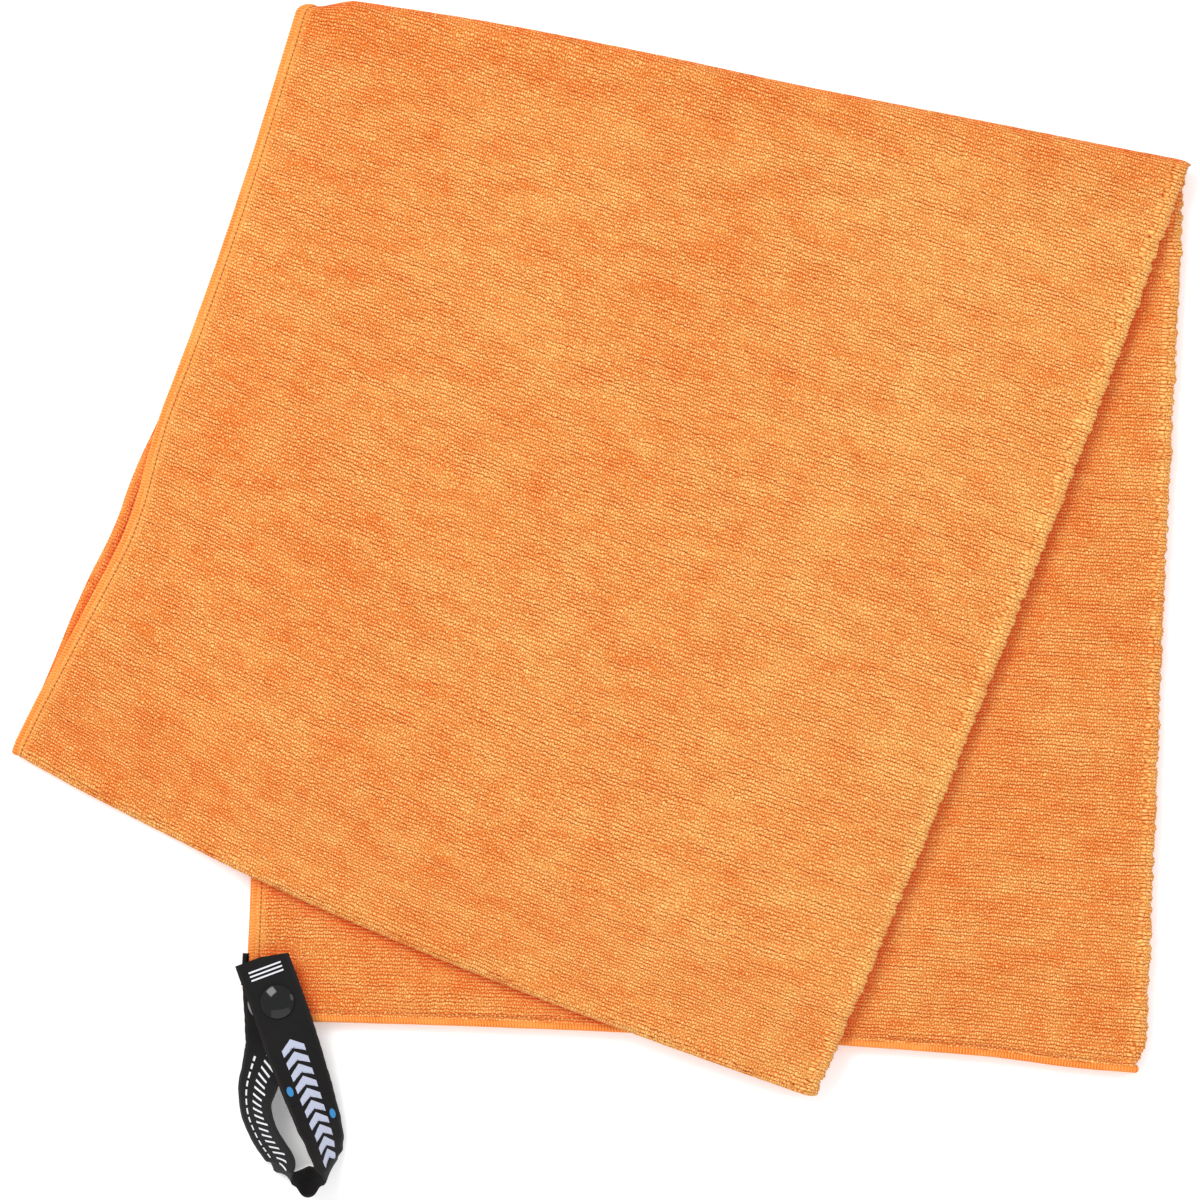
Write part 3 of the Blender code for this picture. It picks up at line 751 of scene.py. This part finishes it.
def build_towel():
    peek = 2.3  # how far the inner leaf slips out past the outer one, and the outer one in
    leaves = {
        "terry_upper_outer": Leaf(UPPER, UP_HIGH_OUT[2] - 0.1, UP_LOW_OUT[2] + 0.1, True,
                                  (0.0, -0.4), slip=-peek),
        "terry_upper_inner": Leaf(UPPER, UP_LOW_IN[2] + 0.1, UP_HIGH_IN[2] - 0.1, True,
                                  (-0.6, -0.2), 4.5, peek),
        "terry_lower_inner": Leaf(LOWER, HIGH_IN[2] - 0.1, LOW_IN[2] + 0.1, False, (0.0, 0.6), 5.0),
        "terry_lower_outer": Leaf(LOWER, LOW_OUT[2] + 0.05, HIGH_OUT[2] - 0.1, False,
                                  (0.4, 0.2), 4.0),
    }
    # column step, column step of the hidden ply, row step, rib depth
    detail = {
        "terry_upper_outer": (3.6, 26.0, 1.0, RIB_DEPTH),
        "terry_upper_inner": (6.0, 26.0, 1.0, RIB_DEPTH),
        "terry_lower_inner": (4.0, 26.0, 1.0, RIB_DEPTH),
        "terry_lower_outer": (12.0, 26.0, 2.0, 0.0),
    }
    stands_for = {
        "terry_upper_outer": ("upper_panel_outer_leaf", "bottom_fold"),
        "terry_upper_inner": ("upper_panel_inner_leaf",),
        "terry_lower_inner": ("lower_panel_inner_leaf", "top_fold_inner"),
        "terry_lower_outer": ("lower_panel_outer_leaf", "top_fold_outer"),
    }
    # hem node numbers of ply a and ply b, counted up the stack
    hem_numbers = {"terry_upper_outer": (8, 7), "terry_upper_inner": (5, 6),
                   "terry_lower_inner": (4, 3), "terry_lower_outer": (1, 2)}
    for name, leaf in leaves.items():
        obj = leaf.build(name, *detail[name])
        extras = []
        for ply, number in zip((0, 1), hem_numbers[name]):
            seen = number in (4, 6, 7, 8)
            start = 0.0 if leaf.upper else 0.008
            line, side = leaf.edge_path(ply, 1.15, (start, 1.06))
            top = 1 if (ply == 0) == (leaf.a_z > leaf.b_z) else -1
            line = line - np.array((0, 0, 0.65 * top))
            hem = bead(f"side_hem_roll_{number}", line, side, 2.5, 1.7, HEM if seen else HEM_SHADE,
                       step=0.37 if seen else 1.2, tick_depth=0.1 if seen else 0.0)
            line, side = leaf.edge_path(ply, 3.5, (start, 1.06))
            sewn = stitches(f"side_stitches_{number}", line, side, lift=0.15 * top)
            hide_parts(f"side_hem_{number}")
            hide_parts(f"side_topstitch_{number}")
            extras += [hem, sewn]
        if not leaf.upper:
            extras += end_hem(leaf, name)
        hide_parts(*stands_for[name])
        for piece in (obj, *extras):
            follow_panel(piece)


def end_hem(leaf, name):
    """The short end's hem: one roll along ply a, round the lengthwise fold and back along ply b."""
    outer = name.endswith("outer")
    columns = leaf.columns(1.2, 1.2)
    made = []
    q = np.array([0.0, 0.02])
    points = leaf.shape(q, np.zeros(2), columns, 0.0)[0]
    inward = points[1] - points[0]
    inward[:, 2] = 0
    inward = unit(inward)
    middle = (leaf.a_z + leaf.b_z) / 2
    edge = points[0].copy()
    edge[:, 2] = middle + (edge[:, 2] - middle) * 0.62
    line = edge + inward * 0.5
    roll = bead(f"end_hem_roll_{'outer' if outer else 'inner'}", line, inward, 2.7, 1.75, HEM, step=0.37)
    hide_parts(f"end_hem_{'outer' if outer else 'inner'}")
    made.append(roll)
    flat = len([c for c in columns if c[3] is None and c[2] == 0])
    numbers = (1, 2) if outer else (4, 3)
    for ply, number in zip((0, 1), numbers):
        chosen = slice(0, flat) if ply == 0 else slice(len(columns) - flat, len(columns))
        level = points[0][chosen] + inward[chosen] * 3.3
        top = 1 if (ply == 0) == (leaf.a_z > leaf.b_z) else -1
        sewn = stitches(f"end_stitches_{number}", level, inward[chosen], lift=0.15 * top)
        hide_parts(f"end_topstitch_{number}")
        made.append(sewn)
    return made


# ---------------------------------------------------------------- ribbon strap

RIBBON_WIDTH = 20.0
RIBBON_THICK = 0.5
FRAME_SHIFT = np.array((-1.4, -2.7))
# plan position, roll about the ribbon's own line in degrees, height of its middle, and skew:
# how far its width direction leans along the line, as a share of the width
STATIONS = np.array((
    (-109.3, -137.5, 0, 7.6, 0),
    (-108.3, -146.5, 0, 7.75, 0),
    (-107.2, -156.0, 0, 7.75, 0),
    (-107.2, -165.5, 14, 6.9, 0),
    (-111.0, -176.5, 42, 7.6, 0),
    (-111.6, -186.0, 52, 8.3, 0),
    (-107.9, -195.5, 55, 8.7, 0.05),
    (-101.6, -204.2, 56, 9.5, 0.12),
    (-100.0, -208.5, 68, 10.0, 0.16),
    (-96.9, -211.1, 95, 10.3, 0.2),
    (-90.6, -211.9, 119, 9.3, 0.0),
    (-84.4, -209.8, 97, 10.2, -0.2),
    (-83.2, -206.4, 78, 10.3, -0.28),
    (-83.8, -202.8, 58, 10.4, -0.2),
    (-85.8, -195.6, 47, 10.9, -0.05),
    (-88.8, -188.2, 37, 11.6, 0),
    (-94.3, -174.5, 25, 12.6, 0),
    (-98.9, -163.3, 12, 13.2, 0),
    (-102.3, -154.7, 0, 12.9, 0),
    (-105.6, -146.7, 0, 12.9, 0),
    (-112.5, -130.8, 0, 12.9, 0),
))
STUD_AT = np.array((-110.2, -147.8)) + FRAME_SHIFT
CAP_AT = np.array((-105.6, -146.7)) + FRAME_SHIFT


def ribbon_frame(t):
    """Middle, width direction and face direction of the ribbon at station numbers t."""
    t = np.atleast_1d(np.asarray(t, float))
    last = len(STATIONS) - 1
    k = np.minimum(t.astype(int), last - 1)
    f = (t - k)[:, None]
    p = [STATIONS[np.clip(k + n, 0, last), :2] for n in (-1, 0, 1, 2)]
    bend = 2 * p[0] - 5 * p[1] + 4 * p[2] - p[3]
    twist = 3 * p[1] - p[0] - 3 * p[2] + p[3]
    plan = (2 * p[1] + (p[2] - p[0]) * f + bend * f**2 + twist * f**3) / 2 + FRAME_SHIFT
    run = ((p[2] - p[0]) + 2 * bend * f + 3 * twist * f**2) / 2
    run = unit(run)
    share = smooth(f)
    roll, z, skew = (lerp(STATIONS[k, n], STATIONS[k + 1, n], share[:, 0]) for n in (2, 3, 4))
    turn = np.radians(roll)[:, None]
    left = np.stack([-run[:, 1], run[:, 0], np.zeros(len(t))], -1)
    across = left * np.cos(turn) + np.array((0, 0, 1.0)) * np.sin(turn)
    run = np.concatenate([run, np.zeros((len(t), 1))], 1)
    across = unit(across + run * skew[:, None])
    face = unit(np.cross(run, across))
    middle = np.concatenate([plan, z[:, None]], 1)
    return middle, across, face


def ribbon_run():
    """Millimetres along the ribbon for each station number, as a table to look up."""
    t = np.linspace(0, len(STATIONS) - 1, 800)
    middle, _, _ = ribbon_frame(t)
    return t, np.concatenate([[0], np.cumsum(np.linalg.norm(np.diff(middle, axis=0), axis=1))])


RUN_T, RUN_MM = ribbon_run()


def on_ribbon(mm, across_mm, lift):
    """Points on the ribbon's printed face, from millimetres along and across it."""
    middle, across, face = ribbon_frame(np.interp(mm, RUN_MM, RUN_T))
    return middle + across * np.asarray(across_mm)[:, None] + face * (RIBBON_THICK / 2 + lift)


def closed_strip(name, grids, uvs, top_first):
    """A ribbon from the grids of its two faces, closed round the rim."""
    rows, columns = grids[0].shape[:2]
    faces = grid_faces(rows, columns)
    size = rows * columns
    loop = np.concatenate([
        np.arange(columns), np.arange(2, rows + 1) * columns - 1,
        np.arange(size - 2, size - columns - 1, -1), np.arange(rows - 2, 0, -1) * columns])
    after = np.roll(loop, -1)
    rim = np.stack([loop, loop + size, after + size, after], -1)
    faces = np.concatenate([faces, (faces + size)[:, ::-1], rim])
    if top_first:
        faces = faces[:, ::-1]
    points = np.concatenate([g.reshape(-1, 3) for g in grids])
    return mesh_object(name, points, faces, RIBBON, np.concatenate(uvs))


def ribbon_section(name, first, last, first_cut=0.0, last_cut=0.0):
    """A closed strip of the ribbon; a cut slants an end by so many millimetres."""
    start, stop = np.interp((first, last), RUN_T, RUN_MM)
    count = int((stop - start) / 0.8)
    widths = np.linspace(-1, 1, 13) * RIBBON_WIDTH / 2
    grids, uvs = [], []
    for face_side in (1, -1):
        rows = []
        for i in range(count + 1):
            share = i / count
            slant = widths / RIBBON_WIDTH * (first_cut * (1 - share) ** 6 + last_cut * share**6)
            mm = start + (stop - start) * share + slant
            middle, across, face = ribbon_frame(np.interp(mm, RUN_MM, RUN_T))
            edge = 1 - 0.35 * (np.abs(widths) > 9.9)
            selvedge = 0.05 * np.cos(2 * math.pi * mm / 1.0) * (np.abs(widths) > 9.9)
            thick = face * (face_side * RIBBON_THICK / 2 * edge)[:, None]
            rows.append(middle + across * (widths + np.sign(widths) * selvedge)[:, None] + thick)
            uvs.append(np.stack([mm, widths], -1))
        grids.append(np.array(rows))
    return closed_strip(name, grids, uvs, top_first=True)


def decal(name, shapes, material):
    """Printed shapes on the ribbon: each is a list of (mm along, mm across) round its outline."""
    verts, uvs, faces = [], [], []
    for outline in shapes:
        outline = np.array(outline, float)
        centre = outline.mean(axis=0)
        ring = []
        for k in range(len(outline)):
            a, b = outline[k], outline[(k + 1) % len(outline)]
            steps = max(1, int(np.hypot(*(b - a)) / 0.8))
            ring += [a + (b - a) * s / steps for s in range(steps)]
        ring = np.array(ring)
        rings = [centre + (ring - centre) * share for share in (1.0, 0.66, 0.33)]
        base = len(verts)
        size = len(ring)
        flat = np.concatenate([*rings, [centre]])
        verts += list(on_ribbon(flat[:, 0], flat[:, 1], 0.035))
        uvs += flat.tolist()
        faces += (grid_faces(3, size, closed=True) + base).tolist()
        inner = base + 2 * size
        faces += [(inner + k, inner + (k + 1) % size, inner + size) for k in range(size)]
    return mesh_object(name, verts, faces, material, uvs)


def chevron(mm, half_width, rise, thick):
    return [(mm, -half_width), (mm + rise, 0), (mm, half_width), (mm + thick, half_width),
            (mm + rise + thick, 0), (mm + thick, -half_width)]


def bar(mm, across_from, across_to, thick):
    return [(mm, across_from), (mm + thick, across_from), (mm + thick, across_to), (mm, across_to)]


def build_ribbon():
    split = 15.5
    loop = ribbon_section("ribbon_loop", 0, split)
    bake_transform(loop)
    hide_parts("strap_rear_limb", "strap_bend", "strap_front_limb")
    tab = ribbon_section("ribbon_tab", split, len(STATIONS) - 1, last_cut=4.0)
    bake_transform(tab)
    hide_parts("pull_tab_ribbon")
    root = ribbon_root()
    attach(root, "towel_lower")
    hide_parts("strap_root")
    lengths = np.interp((split, len(STATIONS) - 1), RUN_T, RUN_MM)

    total = lengths[1]
    pitch, first = 4.7, np.interp(12.5, RUN_T, RUN_MM)
    places = np.arange(first, first + 46.0, pitch)
    chevrons = decal("print_chevrons", [chevron(mm, 4.3, 3.2, 2.5) for mm in places], INK_LIGHT)
    bars = [bar(total - 7.4 + 1.5 * k, -6.2, 6.2, 0.6) for k in range(3)]
    pull_bars = decal("print_tab_bars", bars, INK_WHITE)
    rear_from, rear_to = np.interp((3.1, 7.2), RUN_T, RUN_MM)
    slashes = []
    for k, place in enumerate(np.arange(rear_from, rear_to, 2.5)):
        top = 4.2 if k % 5 else 5.4
        slashes.append([(place, -1.2), (place + 0.8, -1.2), (place + 2.8, top), (place + 2.0, top)])
    for place in np.arange(rear_from + 3.0, rear_to - 4.0, 2.9):
        slashes.append([(place, -5.6), (place + 1.9, -5.6), (place + 1.9, -4.7), (place, -4.7)])
    rear = decal("print_rear_slashes", slashes, INK_WHITE)
    dots = []
    for mm, across in ((first + 17.0, -6.8), (first + 30.0, 6.8)):
        dots.append([(mm + 1.9 * math.cos(a), across + 1.25 * math.sin(a))
                     for a in np.linspace(0, 2 * math.pi, 16, endpoint=False)])
    dots = decal("print_blue_dots", dots, INK_BLUE)
    for piece in (rear, dots):
        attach(piece, "strap")
    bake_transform(chevrons)
    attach(pull_bars, "pull_tab")


def ribbon_root():
    """The sewn end: flat between the plies, up round the hem, with its lip over the edge."""
    low, high = box_mm("strap_root")
    path = np.array([
        (high[0], low[2] + 0.25), (low[0] + 1.4, low[2] + 0.25), (low[0] + 0.5, low[2] + 0.6),
        (low[0] + 0.25, low[2] + 1.3), (low[0] + 0.3, high[2] - 0.7),
        (low[0] + 0.8, high[2] - 0.2), (low[0] + 1.8, high[2] - 0.2)])
    run = np.concatenate([[0], np.cumsum(np.hypot(*np.diff(path, axis=0).T))])
    marks = np.linspace(0, run[-1], 60)
    x, z = np.interp(marks, run, path[:, 0]), np.interp(marks, run, path[:, 1])
    along = np.stack([np.gradient(x), np.gradient(z)], -1)
    along = unit(along)
    normal = np.stack([-along[:, 1], along[:, 0]], -1)
    widths = np.linspace(low[1] + 0.2, high[1] - 0.2, 12)
    grids, uvs = [], []
    for side in (1, -1):
        xs, zs = x + side * 0.2 * normal[:, 0], z + side * 0.2 * normal[:, 1]
        grids.append(np.stack(np.broadcast_arrays(xs[:, None], widths[None], zs[:, None]), -1))
        flat = np.broadcast_arrays(marks[:, None], widths[None] - widths.mean())
        uvs.append(np.stack(flat, -1).reshape(-1, 2))
    return closed_strip("ribbon_root", grids, uvs, top_first=False)


def turned(name, profile, centre, material, segments=72):
    """A turned piece from a closed profile of (radius, height)."""
    verts, faces, rings = [], [], []
    for radius, z in profile:
        if radius == 0:
            rings.append([len(verts)])
            verts.append((*centre, z))
            continue
        rings.append(list(range(len(verts), len(verts) + segments)))
        for k in range(segments):
            turn = 2 * math.pi * k / segments
            verts.append((centre[0] + radius * math.cos(turn),
                          centre[1] + radius * math.sin(turn), z))
    pairs = list(zip(rings, rings[1:]))
    if len(rings[0]) > 1:
        pairs.append((rings[-1], rings[0]))
    for a, b in pairs:
        for k in range(segments):
            n = (k + 1) % segments
            if len(a) == 1:
                faces.append((a[0], b[n], b[k]))
            elif len(b) == 1:
                faces.append((a[k], a[n], b[0]))
            else:
                faces.append((a[k], a[n], b[n], b[k]))
    obj = mesh_object(name, verts, faces, material)
    obj.data.set_sharp_from_angle(angle=math.radians(50))
    return obj


def dome(radius, edge_z, crown_z, rounds=14):
    """A dome's profile from its rim to its crown, part of a sphere."""
    rise = crown_z - edge_z
    ball = (radius**2 + rise**2) / (2 * rise)
    return [(radius * t, crown_z - ball + math.sqrt(ball**2 - (radius * t) ** 2))
            for t in np.linspace(1, 0, rounds)]


def build_snap():
    low, high = box_mm("snap_cap")
    low[2] += 1.35  # leaves out the shank
    cap_profile = [(0.0, low[2]), (5.8, low[2]), (6.1, low[2] + 0.1), (6.2, low[2] + 0.28),
                   (6.12, low[2] + 0.42)]
    cap_profile += dome(6.05, low[2] + 0.46, high[2])
    cap = turned("snap_cap_dome", cap_profile, CAP_AT, ENAMEL)
    low, high = box_mm("snap_socket")
    socket = turned("snap_socket_ring", [
        (1.3, high[2]), (1.3, high[2] - 0.4), (2.5, high[2] - 0.4), (2.6, low[2] + 0.2),
        (2.9, low[2]), (4.5, low[2]), (4.9, low[2] + 0.12), (5.2, low[2] + 0.45),
        (5.2, high[2] - 0.3), (5.0, high[2] - 0.08), (4.7, high[2])], CAP_AT, METAL)
    low, high = box_mm("snap_stud")
    stud = turned("snap_stud_ring", [
        (0.0, low[2] + 1.5), (1.3, low[2] + 1.5), (1.3, low[2]), (6.0, low[2]),
        (6.25, low[2] + 0.1), (6.35, low[2] + 0.35), (6.2, low[2] + 0.62), (5.9, low[2] + 0.75),
        (5.3, low[2] + 0.76), (4.7, low[2] + 0.6), (4.3, low[2] + 0.45), (2.4, low[2] + 0.45),
        (2.05, low[2] + 0.7), (2.0, low[2] + 1.2), (2.15, low[2] + 1.7), (2.05, low[2] + 2.0),
        (1.6, high[2]), (0.0, high[2])], STUD_AT, METAL)
    low, high = box_mm("snap_back_post")
    post = turned("snap_back_plate", [
        (0.0, low[2]), (4.4, low[2]), (4.75, low[2] + 0.1), (4.9, low[2] + 0.26),
        (4.75, low[2] + 0.42), (4.4, low[2] + 0.52), (1.0, low[2] + 0.52), (1.0, high[2]),
        (0.0, high[2])], STUD_AT, METAL)
    for piece, node, body, slot in ((cap, "snap_cap", "pull_tab", "snap_cap"),
                                    (socket, "snap_socket", "pull_tab", "snap_metal"),
                                    (stud, "snap_stud", "strap", "snap_metal"),
                                    (post, "snap_back_post", "strap", "snap_metal")):
        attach(piece, body)
        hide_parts(node)


def build_bartack():
    """Zigzag thread over the ribbon's root."""
    low, high = box_mm("root_bartack")
    turns = 26
    x = np.linspace(low[0] + 0.3, high[0] - 0.3, turns * 2)
    y = np.where(np.arange(turns * 2) % 2 == 0, low[1] + 0.25, high[1] - 0.25)
    line = np.stack([x, y, np.full(turns * 2, low[2] + 0.2)], -1)
    side = np.tile((0.0, 0.0, 1.0), (turns * 2, 1))
    run, side, _ = even_line(line, side, 0.25)
    curve = bpy.data.curves.new("root_bartack_thread", "CURVE")
    curve.dimensions = "3D"
    curve.bevel_depth = 0.17 * MM
    curve.bevel_resolution = 2
    curve.use_fill_caps = True
    spline = curve.splines.new("POLY")
    spline.points.add(len(run) - 1)
    for point, place in zip(spline.points, run):
        point.co = (*(place * MM), 1.0)
    curve.materials.append(THREAD)
    obj = bpy.data.objects.new("root_bartack_thread", curve)
    bpy.context.collection.objects.link(obj)
    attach(obj, "towel_lower")
    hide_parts("root_bartack")


# ---------------------------------------------------------------- studio

def build_camera():
    """Straight down, turned so that the lower panel's hem tips a little to the right."""
    data = bpy.data.cameras.new("camera")
    distance, view_width = 2.2, 0.438
    data.sensor_width = 36.0
    data.lens = 36.0 * distance / view_width
    data.clip_end = 20.0
    camera = bpy.data.objects.new("camera", data)
    camera.location = (0.0022, 0.0032, distance + 0.008)
    camera.rotation_euler = (0.0, 0.0, math.radians(3.2))
    bpy.context.collection.objects.link(camera)
    bpy.context.scene.camera = camera


def add_light(name, place, target, size, power, tint=(1.0, 1.0, 1.0)):
    data = bpy.data.lights.new(name, "AREA")
    data.shape = "RECTANGLE"
    data.size, data.size_y = size
    data.energy = power
    data.color = tint
    light = bpy.data.objects.new(name, data)
    light.location = place
    light.rotation_euler = (Vector(target) - Vector(place)).to_track_quat("-Z", "Y").to_euler()
    bpy.context.collection.objects.link(light)


def build_studio():
    mesh = bpy.data.meshes.new("floor")
    reach, level = 6.0, -0.0003
    corners = [(x * reach, y * reach, level) for x, y in ((-1, -1), (1, -1), (1, 1), (-1, 1))]
    mesh.from_pydata(corners, [], [(0, 1, 2, 3)])
    mesh.materials.append(floor_material())
    floor = bpy.data.objects.new("floor", mesh)
    bpy.context.collection.objects.link(floor)

    world = bpy.data.worlds.new("studio")
    world.use_nodes = True
    world.node_tree.nodes["Background"].inputs[0].default_value = (1.0, 1.0, 1.0, 1.0)
    world.node_tree.nodes["Background"].inputs[1].default_value = 0.78
    scene = bpy.context.scene
    scene.world = world
    scene.view_settings.view_transform = "Standard"
    add_light("key", (-0.85, 0.8, 1.5), (0, 0, 0), (0.85, 0.85), 20.0, (1.0, 0.99, 0.97))
    add_light("fill", (0.3, -1.5, 1.3), (0, 0, 0), (2.2, 1.2), 7.0)
    add_light("side", (1.7, 0.4, 1.2), (0, 0, 0), (0.7, 1.1), 5.0)


build_camera()
build_towel()
build_ribbon()
build_bartack()
build_snap()
build_studio()
